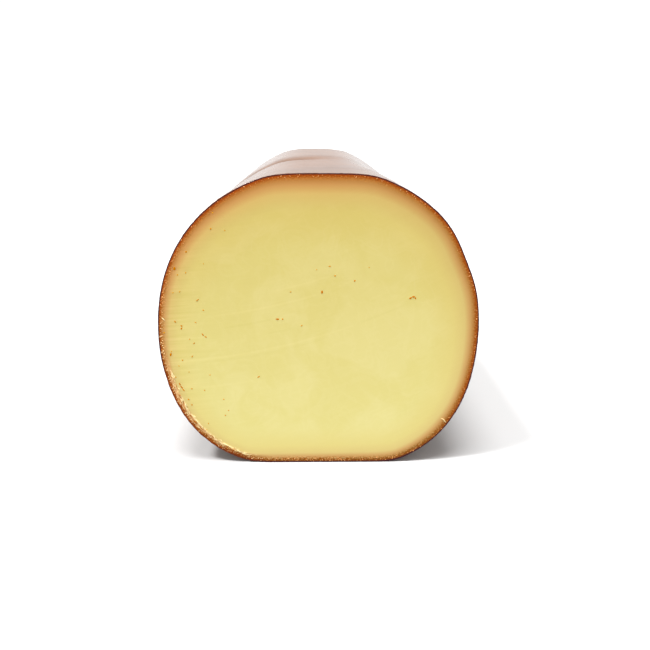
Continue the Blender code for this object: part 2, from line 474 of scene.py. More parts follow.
    def puckers(self, angle, share):
        """Small folds between the pleats, which grow towards the nub."""
        turn = radians(angle)
        sway = noise.noise(Vector((3 * cos(turn), 3 * sin(turn), 2.0 * share)))
        folds = 1 - 2 * abs(sin(PUCKERS * turn + PUCKER_SWAY * sway)) ** PUCKER_SHARPNESS
        return PUCKER_DEPTH * folds * rise(share, *PUCKER_ONSET)

    def dome_point(self, angle, share):
        """A point of the gathered end, at a share of the way from the body to the nub's neck."""
        bend = share * pi / 2
        narrowing = max(cos(bend), 0.0) ** (2 / DOME_FULLNESS)
        forward = (DOME_LENGTH - NECK_LENGTH) * sin(bend) ** (2 / DOME_FULLNESS)
        outline = casing_radius(angle, DOME_START)
        neck = NECK_SHARE * NUB_RADIUS
        radius = outline * narrowing * (1 - neck / MEAN_RADIUS) + neck
        folds = pleat(angle)
        radius *= 1 + PLEAT_DEPTH * folds * share**PLEAT_ONSET * (1 - PLEAT_EASING * share)
        radius *= 1 + self.puckers(angle, share)
        radius = outline + (radius - outline) * min(1.0, share / DOME_BLEND)
        radius += self.wrinkles(angle, DOME_START + forward) * (1 - share)
        point = place(angle, pressed_flat(radius, angle), self.cut_y + DOME_START + forward)
        pucker = PUCKER_SHADE * max(-self.puckers(angle, share), 0.0)
        return point, rind_looks((0.5 - 0.5 * folds) * share**2 + pucker)

    def nub_point(self, angle, share, from_tip):
        """A point of the nub, at a share of its radius and a distance from its tip."""
        radius = NUB_RADIUS * share
        radius *= 1 + PLEAT_DEPTH * pleat(angle) + self.puckers(angle, 1.0)
        point = place(angle, radius, self.cut_y + self.length - from_tip)
        return point, rind_looks(0.5 - 0.5 * pleat(angle))


def face_rings(log):
    """Rings of the cut face from near its middle out to the edge: (sides, rule of the ring)."""
    steps = round((MEAN_RADIUS - NEAR_END) / PASTE_STEP)
    for step in range(1, steps):
        depth = MEAN_RADIUS - (MEAN_RADIUS - NEAR_END) * step / steps
        sides = PASTE_SIDES[step - 1] if step <= len(PASTE_SIDES) else BODY_SIDES
        yield sides, partial(log.face_point, depth=depth)
    for depth in reversed(NEAR_DEPTHS):
        yield MIDDLE_SIDES, partial(log.face_point, depth=depth * MM)
    for depth in reversed(RIM_DEPTHS):
        yield FINE_SIDES, partial(log.face_point, depth=depth * MM)


def rind_rings(log):
    """Rings of the rind from just behind the cut back to the gathered tip."""
    for distance in EDGE_DISTANCES:
        yield FINE_SIDES, partial(log.rind_point, behind=distance * MM)
    for distance in NEAR_DISTANCES:
        yield MIDDLE_SIDES, partial(log.rind_point, behind=distance * MM)
    for start, end, steps in BODY_STRETCHES:
        for step in range(1, steps + 1):
            yield BODY_SIDES, partial(log.rind_point, behind=start + (end - start) * step / steps)
    for ring in range(1, DOME_RINGS):
        yield BODY_SIDES, partial(log.dome_point, share=ring / DOME_RINGS)
    for share, from_tip in NUB_PROFILE:
        yield NUB_SIDES, partial(log.nub_point, share=share, from_tip=from_tip)


def add_ring(bm, sides, distance):
    """A closed ring round the Y axis, at a distance along it. Returns its corners."""
    upright = Matrix.Translation((0.0, distance, 0.0)) @ Matrix.Rotation(pi / 2, 4, "X")
    made = bmesh.ops.create_circle(bm, segments=sides, radius=1.0, cap_ends=False, matrix=upright)
    return made["verts"]


def edges_of(corners):
    """The edges that join the corners of a ring, in the same order on each run."""
    return list(dict.fromkeys(edge for corner in corners for edge in corner.link_edges))


def bridge(bm, rings):
    """A skin over rings that follow one another. Returns the faces of each stretch between two."""
    stretches = []
    for ring, following in zip(rings, rings[1:]):
        stretches.append(bmesh.ops.bridge_loops(bm, edges=ring + following)["faces"])
    return stretches


def add_skin(bm, rings):
    """A straight tube of (sides, rule) rings, closed at both ends, then moved by the rules.

    A rule gives the place and the looks of a corner from its angle round the axis. Returns the
    faces between each two rings, and then those that close the first ring and the last.
    """
    layers = {name: bm.verts.layers.float.new(name) for name in LOOKS}
    made = [add_ring(bm, sides, TUBE_STEP * order) for order, (sides, _) in enumerate(rings)]
    edges = [edges_of(corners) for corners in made]
    stretches = bridge(bm, edges)
    for end in (edges[0], edges[-1]):
        stretches.append(bmesh.ops.edgeloop_fill(bm, edges=end)["faces"])
    for (_, rule), corners in zip(rings, made):
        for corner in corners:
            corner.co, looks = rule(degrees(atan2(corner.co.z, corner.co.x)))
            for name, value in looks.items():
                corner[layers[name]] = value
    return stretches


def add_object(name, data):
    """A new object of the scene that holds a mesh, a light or a camera."""
    made = bpy.data.objects.new(name, data)
    bpy.context.scene.collection.objects.link(made)
    return made


def add_mesh(bm, name, materials):
    """The mesh as an object of the scene."""
    mesh = bpy.data.meshes.new(name)
    bm.to_mesh(mesh)
    bm.free()
    for material in materials:
        mesh.materials.append(material)
    return add_object(name, mesh)


def finish_piece(bm, name, materials):
    """The mesh as a smooth piece of the scene that rides on the log's body."""
    bmesh.ops.recalc_face_normals(bm, faces=bm.faces)
    piece = add_mesh(bm, name, materials)
    piece.data.shade_smooth()
    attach(piece, BODY)
    return piece


class Wire:
    """The output of a node, which adds, multiplies and divides as a number does."""

    def __init__(self, recipe, socket):
        self.recipe = recipe
        self.socket = socket

    def maths(self, operation, *values):
        inputs = dict(enumerate(values))
        return self.recipe.node("ShaderNodeMath", {"operation": operation}, inputs)

    def __add__(self, other):
        return self.maths("ADD", self, other)

    def __sub__(self, other):
        return self.maths("SUBTRACT", self, other)

    def __mul__(self, other):
        return self.maths("MULTIPLY", self, other)

    def __truediv__(self, other):
        return self.maths("DIVIDE", self, other)

    def __radd__(self, other):
        return self.maths("ADD", other, self)

    def __rsub__(self, other):
        return self.maths("SUBTRACT", other, self)

    def __rmul__(self, other):
        return self.maths("MULTIPLY", other, self)

    def __abs__(self):
        return self.maths("ABSOLUTE", self)


class Recipe:
    """A material, written as Python expressions on its nodes."""

    def __init__(self, name, roughness, **constants):
        self.material = bpy.data.materials.new(name)
        self.material.use_nodes = True
        self.tree = self.material.node_tree
        self.shader = self.tree.nodes["Principled BSDF"]
        self.feed(self.shader.inputs["Roughness"], roughness)
        for socket, value in constants.items():
            self.feed(self.shader.inputs[socket.replace("_", " ")], value)

    def feed(self, socket, value):
        if isinstance(value, Wire):
            self.tree.links.new(value.socket, socket)
        else:
            socket.default_value = value

    def node(self, kind, settings, values, output=0):
        made = self.tree.nodes.new(kind)
        for name, setting in settings.items():
            if name == "stops":
                fill_ramp(made.color_ramp, setting)
            else:
                setattr(made, name, setting)
        for name, value in values.items():
            self.feed(made.inputs[name], value)
        return Wire(self, made.outputs[output])

    def attribute(self, name):
        settings = {"attribute_name": name, "attribute_type": "GEOMETRY"}
        return self.node("ShaderNodeAttribute", settings, {}, "Fac")

    def place(self, scale=(1.0, 1.0, 1.0)):
        """The point on the object, each axis multiplied by its scale."""
        point = self.node("ShaderNodeTexCoord", {}, {}, "Object")
        return self.node("ShaderNodeMapping", {}, {"Vector": point, "Scale": scale})

    def axis(self, axis):
        """One coordinate of the point on the object."""
        point = self.node("ShaderNodeTexCoord", {}, {}, "Object")
        return self.node("ShaderNodeSeparateXYZ", {}, {0: point}, "XYZ".index(axis))

    def cloud(self, size, scale=(1.0, 1.0, 1.0), detail=2.0, distortion=0.0):
        """Noise between 0 and 1 with lumps of about this size."""
        values = {
            "Vector": self.place(scale),
            "Scale": 1 / size,
            "Detail": detail,
            "Distortion": distortion,
        }
        return self.node("ShaderNodeTexNoise", {}, values)

    def step(self, value, start, end):
        """0 before start, 1 after end, and a smooth step between them."""
        settings = {"interpolation_type": "SMOOTHSTEP"}
        return self.node("ShaderNodeMapRange", settings, {0: value, 1: start, 2: end})

    def ramp(self, value, stops):
        return self.node("ShaderNodeValToRGB", {"stops": stops}, {0: value})

    def mix(self, factor, first, second, blend="MIX"):
        settings = {"data_type": "RGBA", "blend_type": blend}
        return self.node("ShaderNodeMix", settings, {0: factor, 6: first, 7: second}, 2)

    def shine(self, color, bump=None, depth=0.0):
        """Feeds the shader its colour, and its normal from a bump of that depth."""
        self.feed(self.shader.inputs["Base Color"], color)
        if bump is not None:
            values = {"Strength": 1.0, "Distance": depth, "Height": bump}
            self.feed(self.shader.inputs["Normal"], self.node("ShaderNodeBump", {}, values))
        return self.material


def fill_ramp(ramp, stops):
    """Sets a colour ramp's stops: (position, colour)."""
    while len(ramp.elements) < len(stops):
        ramp.elements.new(1.0)
    for element, (position, color) in zip(ramp.elements, stops):
        element.position = position
        element.color = color


def linear(color):
    """A screen colour as the shaders take it."""
    parts = [part / 12.92 if part <= 0.04045 else ((part + 0.055) / 1.055) ** 2.4 for part in color]
    return (*parts, 1.0)


def scaled(color, factor):
    return (*(part * factor for part in color[:3]), 1.0)


WHITE = (1.0, 1.0, 1.0, 1.0)
BLACK = (0.0, 0.0, 0.0, 1.0)

# Shades between the colours that the panel sets
DEEP_RUST = shade(153, 80, 15)
BROWN_TAN = shade(174, 121, 60)
STRAW = shade(208, 184, 113)
TORN_SHELF = shade(204, 155, 104)
# GLINT: pale specks that are partly paste and partly painted highlights on the rough rim
GLINT = shade(208, 148, 88)
GROOVE = shade(168, 104, 50)
# FLECK_TAN: flecks round the rim, partly paste and partly painted highlights on the rough cut
FLECK_TAN = shade(214, 152, 92)

# Tints that multiply the face's colour: low down and high up, partly the smoke and partly painted
# light, lighter low down as if lit from the floor and shaded high up; on the rust there, with
# painted shade on the rust low down; and on what the smoke reached at the upper left
LOW_SMOKE_AND_LIGHT_TINT = (1.06, 1.10, 1.20, 1.0)
HIGH_SMOKE_AND_SHADE_TINT = (0.93, 0.89, 0.80, 1.0)
LOW_RUST_SHADE_TINT = (0.71, 0.95, 1.12, 1.0)
HIGH_RUST_TINT = (1.13, 1.05, 0.82, 1.0)
WARM_TINT = (1.09, 1.0, 1.0, 1.0)
SMOKE_END = 20.0  # depth at the end of the smoke's colour ramp, in millimetres

# The knife swept up to the right: its marks follow height = SWEEP * across + BEND * across**2
SWEEP, BEND = 0.30, 2.5
# A mark's strength is that of its painted highlight, and of painted shade where it is negative
KNIFE_MARKS = (  # in millimetres: (height where the mark crosses the middle, from, to, strength)
    (46.4, -49, 14, 0.018),
    (45.2, -44, 4, -0.012),
    (46.6, 12, 31, -0.015),
    (61.3, -38, 2, 0.018),
    (56.7, -35, -14, -0.018),
    (52.0, -21, -6, -0.012),
    (66.3, -18, 6, 0.015),
    (62.0, 5, 13, 0.015),
    (54.2, -54, -36, 0.018),
    (63.5, -54, -40, -0.015),
    (36.2, -44, -21, 0.012),
)
MARK_GAIN = 1.4
MARK_CORE, MARK_EDGE = 0.1 * MM, 0.6 * MM  # how far from its line a mark is whole, and is gone
MARK_RISE, MARK_FALL = 5, 4  # the stretches over which a mark begins and ends, in millimetres


def knife_mark_light(recipe):
    """Painted highlight and shade along the knife's marks: how much lighter the paste is where they
    catch the light, and darker where they turn from it.
    """
    across = recipe.axis("X")
    level = recipe.axis("Z") - across * SWEEP - across * across * BEND
    at = recipe.node("ShaderNodeCombineXYZ", {}, {"X": across * 0.05, "Y": 0.0, "Z": level})
    values = {"Vector": at, "Scale": 1 / (0.9 * MM), "Detail": 2.0}
    streaks = recipe.node("ShaderNodeTexNoise", {}, values)
    mark_light = (streaks - 0.5) * (0.03 + 0.20 * recipe.step(across, -34 * MM, -52 * MM))
    for crossing, start, end, strength in KNIFE_MARKS:
        on_line = 1 - recipe.step(abs(level - crossing * MM), MARK_CORE, MARK_EDGE)
        begun = recipe.step(across, start * MM, (start + MARK_RISE) * MM)
        ended = recipe.step(across, (end - MARK_FALL) * MM, end * MM)
        mark_light = mark_light + on_line * begun * (1 - ended) * (MARK_GAIN * strength)
    return mark_light


class CutFace:
    """What the paste's finish reads at a point of the cut face. Depths are in millimetres."""

    def __init__(self, recipe):
        self.height, self.across = recipe.axis("Z"), recipe.axis("X")
        self.depth = recipe.attribute("rind_depth")
        self.smoked = recipe.attribute("smoke_depth")
        self.torn = recipe.attribute("torn")
        self.cream = recipe.attribute("cream")
        self.grit = recipe.cloud(0.6 * MM, detail=3.0)
        self.near_rim = 1 - recipe.step(self.depth, 1.2, 3.0)

        # The knife left the rim roughest low down and on the left
        rough = 1 - recipe.step(self.height, 5 * MM, 90 * MM)
        self.rough = rough * (1 - 0.7 * recipe.step(self.across, 0.0, 40 * MM))
        self.leftmost = 1 - recipe.step(self.across, -52 * MM, -40 * MM)

        # Bands over the floor, each lower than the one before
        self.below = 1 - recipe.step(self.height, 3 * MM, 24 * MM)
        self.sunk = 1 - recipe.step(self.height, 0.0, 20 * MM)
        self.lowest = 1 - recipe.step(self.height, 3 * MM, 8 * MM)


def smoke_colours(recipe, face, colours):
    """Rust at the rind, through tan and honey to the pale middle, along an uneven front."""
    ragged = 1.3 + 1.8 * face.rough + 2.2 * face.below
    uneven = face.smoked + (face.grit - 0.5) * ragged * face.near_rim
    uneven = uneven * (1 + 0.1 * face.torn * recipe.step(face.depth, 1.9, 2.9))
    browner = (0.3 + 0.6 * face.lowest) * face.torn
    uneven = uneven - browner * (1 - recipe.step(face.depth, 2.2, 3.4))
    uneven = uneven - 0.35 * face.lowest * (1 - recipe.step(face.depth, 1.0, 1.8))
    stops = (
        (0.35, colours.rust),
        (1.0, DEEP_RUST),
        (1.75, BROWN_TAN),
        (2.8, colours.tan),
        (4.4, STRAW),
        (8.0, colours.honey),
        (16.0, colours.paste),
    )
    stops = [(depth / SMOKE_END, linear(color)) for depth, color in stops]
    return recipe.ramp(uneven / SMOKE_END, stops)


def tinted(recipe, face, color):
    """The face's colour as it shifts from the floor to the top, partly painted light and shade."""
    rust_zone = 1 - recipe.step(face.smoked, 0.8, 2.4)
    # Painted shade on the rust low down, away from the torn rim: less red and more blue
    shaded_low_rust = (1 - recipe.step(face.height, 0.0, 32 * MM)) * rust_zone * (1 - face.torn)
    high = recipe.step(face.height, 45 * MM, 100 * MM) * rust_zone
    left = 1 - recipe.step(face.across, -5 * MM, 45 * MM)
    upper_left = recipe.step(face.height, 25 * MM, 85 * MM) * left
    warm = upper_left * (1 - recipe.step(face.smoked, 3.0, 7.0))
    upwards = recipe.step(face.height, -5 * MM, 105 * MM)
    color = recipe.mix(shaded_low_rust, color, LOW_RUST_SHADE_TINT, "MULTIPLY")
    color = recipe.mix(high, color, HIGH_RUST_TINT, "MULTIPLY")
    color = recipe.mix(warm, color, WARM_TINT, "MULTIPLY")
    return recipe.mix(1.0, color, recipe.mix(upwards, LOW_SMOKE_AND_LIGHT_TINT, HIGH_SMOKE_AND_SHADE_TINT), "MULTIPLY")


def marbled(recipe, face, color):
    """The paste's faint patches and veins, and the painted highlights and shade of the knife's
    marks.
    """
    patches = recipe.step(recipe.cloud(21 * MM, detail=6.0, distortion=0.8), 0.43, 0.60)
    threads = recipe.cloud(9 * MM, detail=5.0, distortion=1.8)
    veins = 1 - recipe.step(abs(threads - 0.5), 0.0, 0.075)
    marbling = (0.9 * patches + 0.4 * veins - 0.55) * recipe.step(face.depth, 3.0, 18.0)
    mark_light = knife_mark_light(recipe)
    lighter = 0.776 + 0.025 * marbling + 0.87 * mark_light
    greener = lighter + 0.007 * marbling
    paler = lighter + 0.078 * marbling + 1.13 * mark_light
    gain = recipe.node("ShaderNodeCombineXYZ", {}, {"X": lighter, "Y": greener, "Z": paler})
    return recipe.mix(1.0, color, gain, "MULTIPLY")


def torn_rim(recipe, face, color, colours):
    """The pale shelf under the broken rind, pale specks partly of paste and partly painted glints,
    and the torn ridges.
    """
    cream = linear(colours.cream)
    speck = recipe.cloud(0.45 * MM, detail=1.0)
    shelf_depth = face.depth + (face.grit - 0.5) * 0.9 - 0.85 * face.sunk - 0.5 * face.lowest
    shelf = face.torn * recipe.step(shelf_depth, 0.95, 1.35)
    shelf = shelf * (1 - recipe.step(face.depth, 2.2, 2.8)) * (1 - 0.4 * face.sunk)
    color = recipe.mix(shelf * 0.85, color, linear(TORN_SHELF))
    color = recipe.mix(shelf * recipe.step(speck, 0.54, 0.66) * 0.6, color, cream)
    # Pale specks near the rim: partly paste showing in the rind, partly painted highlights where
    # the rough cut catches the light
    glints = recipe.step(speck, 0.58, 0.70) * face.near_rim * recipe.step(face.depth, 0.3, 0.8)
    pale = 0.2 + 0.35 * face.rough + 0.15 * face.below + 0.45 * face.leftmost
    color = recipe.mix(glints * pale * (1 - shelf), color, linear(GLINT))
    color = recipe.mix(recipe.step(face.cream, 0.1, 0.9) * 0.85, color, cream)
    return recipe.mix(recipe.step(face.cream, -0.05, -0.6) * 0.5, color, linear(GROOVE))


def paste_material(colours, sizes):
    """The cut face: pale paste, browner and browner towards the rind, with its dark edge."""
    recipe = Recipe("gouda paste", 0.42, IOR=1.45, Specular_IOR_Level=0.06)
    face = CutFace(recipe)
    color = smoke_colours(recipe, face, colours)
    color = marbled(recipe, face, tinted(recipe, face, color))
    color = torn_rim(recipe, face, color, colours)
    line = sizes.casing_line / MM
    edge_depth = face.depth + (face.grit - 0.5) * 0.3 - 0.15 * face.lowest
    edge_line = 1 - recipe.step(edge_depth, 0.6 * line, 1.3 * line)
    color = recipe.mix(edge_line * (1 - 0.5 * face.torn), color, linear(colours.casing_line))
    relief = (face.grit - 0.5) * face.near_rim + 0.06 * recipe.cloud(2.5 * MM)
    return recipe.shine(color, relief, 0.35 * MM)


def rind_material(colours):
    """The outside: a dark smoked rind under a glossy skin."""
    recipe = Recipe("smoked rind", 0.4, Coat_Roughness=0.16, IOR=1.45, Specular_IOR_Level=0.2)
    fold = recipe.attribute("fold")
    dark = linear(colours.rind_dark)
    blotches = recipe.cloud(38 * MM, detail=3.0, distortion=0.4)
    mottle = recipe.cloud(5 * MM, detail=3.0)
    darkness = 0.85 * recipe.step(blotches + (mottle - 0.5) * 0.3, 0.2, 0.8)
    color = recipe.mix(darkness, linear(colours.rind), dark)

    # Painted shade darkens the pleats' folds, their puckers and the crease across the top. The
    # crease is darker and duller than the pleats' folds, which lie further back
    along = recipe.axis("Y")
    creased = fold * (1 - recipe.step(along, 40 * MM, 80 * MM))
    color = recipe.mix(fold * 0.6 + creased * 0.25, color, scaled(dark, 0.5))

    # Handling has dulled the skin along the top, and most of all near the cut
    handled = recipe.step(recipe.axis("Z"), 60 * MM, 92 * MM)
    handled = handled * (1 - recipe.step(abs(recipe.axis("X")), 5 * MM, 26 * MM))
    polished = recipe.step(along, -60 * MM, 0.0)
    coat = 0.9 - 0.42 * handled + 0.1 * polished - 0.85 * creased
    recipe.feed(recipe.shader.inputs["Coat Weight"], coat)
    cross = recipe.cloud(3 * MM, scale=(0.15, 1.0, 0.15), detail=3.0)
    return recipe.shine(color, cross + 0.4 * mottle, 0.18 * MM)


def crumb_material(colours):
    """Rind on the cut face, lighter where it is thin enough for the paste to show through."""
    recipe = Recipe("rind crumb", 0.5, IOR=1.45, Specular_IOR_Level=0.0)
    thin = recipe.attribute("thin")
    return recipe.shine(recipe.mix(thin, linear(colours.crumb), linear(colours.thin_crumb)))


def cream_material(colours):
    """Torn paste, part cream and part tan."""
    recipe = Recipe("torn paste", 0.45, IOR=1.45, Specular_IOR_Level=0.1)
    pick = recipe.cloud(1.5 * MM, detail=1.0)
    tan = scaled(linear(colours.tan), 1.1)
    return recipe.shine(recipe.mix(recipe.step(pick, 0.45, 0.75), linear(colours.cream), tan))


def fleck_material(colours):
    """Specks of paste from tan to cream, as each one's paleness says; the tan ones are partly
    painted glints.
    """
    recipe = Recipe("flecks", 0.45, IOR=1.45, Specular_IOR_Level=0.1)
    paleness = recipe.attribute("paleness")
    return recipe.shine(recipe.mix(paleness, linear(FLECK_TAN), linear(colours.cream)))


# The skin laid out flat in a square of side 1: the cut face at the lower left, the gathered end at
# the lower right, both round their middles, and the rind as a strip above them
FACE_MIDDLE, FACE_SCALE = 0.315, 0.31 / (56 * MM)
END_MIDDLE, END_HEIGHT, END_SCALE, END_REACH = 0.815, 0.315, 0.18, 110 * MM
STRIP_LEFT, STRIP_WIDTH, STRIP_FOOT, STRIP_HEIGHT = 0.005, 0.99, 0.64, 0.355


def turn_from_below(point):
    """Degrees round the log's axis from its underside."""
    return (degrees(atan2(point.z - AXIS_HEIGHT, point.x)) - DOWN) % 360.0


def flat_place(point, middle, log):
    """Where a point of the rind goes, by the middle of the skin's face that it belongs to."""
    across, up = point.x, point.z - AXIS_HEIGHT
    if middle.y > log.cut_y + DOME_START:
        reach = (log.cut_y + log.length - point.y + hypot(across, up)) / END_REACH
        turn = atan2(up, across)
        spread = END_SCALE * reach
        return END_MIDDLE + spread * cos(turn), END_HEIGHT + spread * sin(turn)
    start = turn_from_below(middle)
    turn = start + turn_between(turn_from_below(point), start)
    along = STRIP_HEIGHT * (point.y - log.cut_y) / DOME_START
    return STRIP_LEFT + STRIP_WIDTH * turn / 360.0, STRIP_FOOT + along


def map_for_bake(bm, log):
    """Lays the skin out flat, each face by where its own middle lies."""
    layer = bm.loops.layers.uv.new("OFBake")
    for face in bm.faces:
        middle = face.calc_center_median()
        for loop in face.loops:
            point = loop.vert.co
            if face.material_index == PASTE_PLACE:
                across, up = FACE_SCALE * point.x, FACE_SCALE * (point.z - AXIS_HEIGHT)
                loop[layer].uv = (FACE_MIDDLE + across, FACE_MIDDLE + up)
            else:
                loop[layer].uv = flat_place(point, middle, log)


def build_log(sizes, colours):
    """One closed skin from the middle of the cut face, over its edge, back to the gathered tip."""
    log = Log(sizes)
    bm = bmesh.new()
    on_face = list(face_rings(log))
    stretches = add_skin(bm, on_face + list(rind_rings(log)))
    middle_fill = stretches[-2]
    for faces in (*stretches[: len(on_face) - 1], middle_fill):
        for face in faces:
            face.material_index = PASTE_PLACE
    map_for_bake(bm, log)
    materials = (rind_material(colours), paste_material(colours, sizes))
    piece = finish_piece(bm, "smoked_gouda_log", materials)
    piece.data.set_sharp_from_angle(angle=SHARP_TURN)
    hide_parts(NODE)


# Crumbs of rind on the cut face, in millimetres and degrees: (across, height, length, width, turn
# from level as seen from the front)
CRUMBS = (
    (-48.6, 70.2, 1.05, 0.65, 95), (-47.7, 68.0, 0.5, 0.4, 20), (-44.9, 68.8, 0.45, 0.35, 80),
    (-47.2, 62.3, 0.6, 0.3, 75), (-41.3, 59.3, 1.1, 0.26, 38), (-39.4, 55.8, 0.7, 0.3, -20),
    (-49.2, 51.8, 0.85, 0.34, -50), (-47.1, 50.3, 0.6, 0.46, -35), (-47.1, 49.4, 0.8, 0.4, 55),
    (-42.2, 51.5, 0.8, 0.26, -35), (-39.9, 47.2, 0.9, 0.34, -55), (-39.0, 46.4, 0.8, 0.33, -15),
    (-44.5, 45.6, 0.4, 0.35, 0), (-53.1, 47.9, 0.5, 0.4, 60), (-49.5, 61.9, 0.4, 0.3, 10),
    (-43.0, 44.1, 0.8, 0.35, 45), (-51.2, 40.1, 1.0, 0.5, 85), (-50.9, 41.2, 0.5, 0.3, 60),
    (-43.8, 39.4, 0.85, 0.29, 50), (-47.2, 38.1, 0.5, 0.35, 30), (-48.5, 36.0, 0.6, 0.26, -40),
    (-45.1, 33.8, 0.4, 0.3, 20), (-37.9, 32.7, 0.4, 0.3, 0), (-48.5, 29.4, 1.0, 0.35, -70),
    (-47.9, 28.3, 1.2, 0.34, -56), (-47.3, 27.3, 0.9, 0.3, -50), (-44.4, 27.7, 0.5, 0.4, 0),
    (-40.0, 27.1, 0.5, 0.34, -30), (-45.7, 23.8, 0.55, 0.4, 0), (-33.4, 23.8, 0.5, 0.35, 0),
    (-49.8, 31.9, 0.5, 0.3, 0), (-44.6, 21.8, 0.6, 0.4, -60), (-31.8, 19.7, 0.5, 0.4, 40),
    (-33.0, 17.8, 0.5, 0.4, 10), (-39.0, 14.8, 0.5, 0.3, 90), (-39.8, 12.6, 0.45, 0.35, 0),
    (3.7, 70.9, 0.65, 0.3, 0), (-0.7, 69.7, 0.4, 0.25, 40), (5.5, 67.6, 0.5, 0.42, 0),
    (12.2, 65.9, 0.6, 0.45, 20), (1.1, 62.0, 1.0, 0.5, 90), (-9.6, 62.1, 0.5, 0.3, 30),
    (-14.1, 52.6, 1.15, 0.38, 0), (-12.4, 52.6, 0.5, 0.46, 0), (-5.9, 50.3, 0.7, 0.28, 40),
    (17.0, 70.4, 0.35, 0.25, 0), (-21.0, 32.0, 0.9, 0.3, 35), (-36.0, 83.6, 0.5, 0.5, 0),
    (-31.3, 83.0, 0.35, 0.3, 90), (-35.2, 88.9, 0.4, 0.3, 0), (-44.5, 75.9, 0.55, 0.5, 60),
    (-38.8, 71.8, 0.35, 0.3, 0), (31.3, 59.9, 1.0, 0.42, 25), (32.2, 60.3, 0.9, 0.45, 0),
    (32.9, 59.8, 0.8, 0.42, -60),
)


# A crumb is drawn longer and broader than it looks, for a lump's uneven edge takes some off, and it
# is the thinner the smaller its length times its width, in square millimetres
CRUMB_LONGER, CRUMB_BROADER, THIN_NARROWER = 1.15, 1.27, 0.17
THIN_CRUMB, THICK_CRUMB = 0.13, 0.38
CRUMB_ROUGHNESS, FLECK_ROUGHNESS = 0.4, 0.5
BLOB_GRAIN = 0.35 * MM


def add_blob(bm, middle, length, width, height, turn, roughness):
    """A small uneven lump, flat on the cut face, with its length turned by turn degrees."""
    shape = Matrix.Translation(middle) @ Matrix.Rotation(-radians(turn), 4, "Y")
    shape = shape @ Matrix.Diagonal((length / 2, height, width / 2, 1.0))
    made = bmesh.ops.create_icosphere(bm, subdivisions=2, radius=1.0, matrix=shape)
    for corner in made["verts"]:
        away = corner.co - middle
        corner.co = middle + away * (1 + roughness * noise.noise(corner.co / BLOB_GRAIN))
    return made["verts"]


def build_crumbs(sizes, colours):
    """The crumbs of rind, each a small uneven lump."""
    bm = bmesh.new()
    thin = bm.verts.layers.float.new("thin")
    cut_y = -sizes.length / 2
    for across, height, length, width, turn in CRUMBS:
        middle = Vector((across * MM, cut_y, height * MM))
        thinness = 1 - rise(length * width, THIN_CRUMB, THICK_CRUMB)
        long = CRUMB_LONGER * length * MM
        broad = (CRUMB_BROADER - THIN_NARROWER * thinness) * width * MM
        made = add_blob(bm, middle, long, broad, sizes.crumb, turn, CRUMB_ROUGHNESS)
        for corner in made:
            corner[thin] = thinness
    finish_piece(bm, "rind_crumbs", (crumb_material(colours),))


# Shreds along the torn rim, in millimetres: (least, most and likeliest depth), (width from, to)
RIND_SHREDS = ((1.4, 2.5, 2.0), (0.12, 0.22))
PASTE_SHREDS = ((1.6, 3.1, 2.6), (0.14, 0.28))
SHRED_LENGTHS = (0.9, 2.8)
STRAND_SIDES, STRAND_STATIONS = 6, 8

# Longer shreds of paste: (width, points across and up the cut face), in millimetres
LONE_SHREDS = (
    (0.42, ((43.1, 16.4), (43.7, 16.2), (44.2, 15.8), (44.5, 15.3), (44.9, 14.9))),
    (0.30, ((-53.6, 53.3), (-53.3, 52.9), (-53.0, 52.7), (-52.7, 52.3))),
)

# Flecks of paste: where round the rim they crowd and where it is ragged, as window takes it, and
# their sizes in millimetres
CROWDED = (120.0, 320.0, 60.0)
RAGGED = (172.0, 256.0, 12.0)
FLECK_SIZES = (0.10, 0.26)


def add_strand(bm, path, width):
    """A thin strand along a path of points, pointed at both ends."""
    rings = []
    for number, middle in enumerate(path):
        before, after = path[max(number - 1, 0)], path[min(number + 1, len(path) - 1)]
        along = (after - before).normalized()
        across = along.cross(Vector((0.0, 1.0, 0.0))).normalized()
        outward = across.cross(along)
        taper = width * (0.2 + 0.8 * sin(pi * (number + 0.3) / (len(path) - 0.4)) ** 0.7)
        turned = Matrix((across * taper, outward * taper, along)).transposed().to_4x4()
        turned.translation = middle
        made = bmesh.ops.create_circle(
            bm, segments=STRAND_SIDES, radius=0.5, cap_ends=False, matrix=turned
        )
        rings.append(edges_of(made["verts"]))
    bridge(bm, rings)
    for end in (rings[0], rings[-1]):
        bmesh.ops.edgeloop_fill(bm, edges=end)


def rim_path(log, draw, angle, depth, length):
    """A slightly curled path along the rim, a little off the cut face in its middle."""
    span = degrees(length / MEAN_RADIUS)
    drift, curl = draw.uniform(-0.4, 0.4) * MM, draw.uniform(-0.35, 0.35) * MM
    lift = draw.uniform(0.0, 0.15) * MM
    path = []
    for station in range(STRAND_STATIONS):
        share = station / (STRAND_STATIONS - 1)
        at = angle + span * (share - 0.5)
        inset = depth + drift * (share - 0.5) + curl * sin(pi * share)
        point = log.edge(at) + log.inward(at) * inset
        point.y += log.rim_forward(at, inset) - lift * sin(pi * share)
        path.append(point)
    return path


def build_shreds(sizes, colours):
    """Shreds of paste and of rind along the torn rim, with the two that cling elsewhere."""
    log = Log(sizes)
    draw = random.Random(sizes.seed)
    pale, brown = bmesh.new(), bmesh.new()
    for number in range(sizes.shreds):
        angle = draw.uniform(log.TORN_FROM + 8, log.TORN_TO - 8)
        of_rind = number % 3 == 2
        depths, widths = RIND_SHREDS if of_rind else PASTE_SHREDS
        depth, width = draw.triangular(*depths), draw.uniform(*widths)
        path = rim_path(log, draw, angle, depth * MM, draw.uniform(*SHRED_LENGTHS) * MM)
        add_strand(brown if of_rind else pale, path, width * MM)
    for width, points in LONE_SHREDS:
        path = [Vector((x * MM, log.cut_y - 0.1 * MM, z * MM)) for x, z in points]
        add_strand(pale, path, width * MM)
    finish_piece(pale, "paste_shreds", (cream_material(colours),))
    finish_piece(brown, "rind_shreds", (crumb_material(colours),))


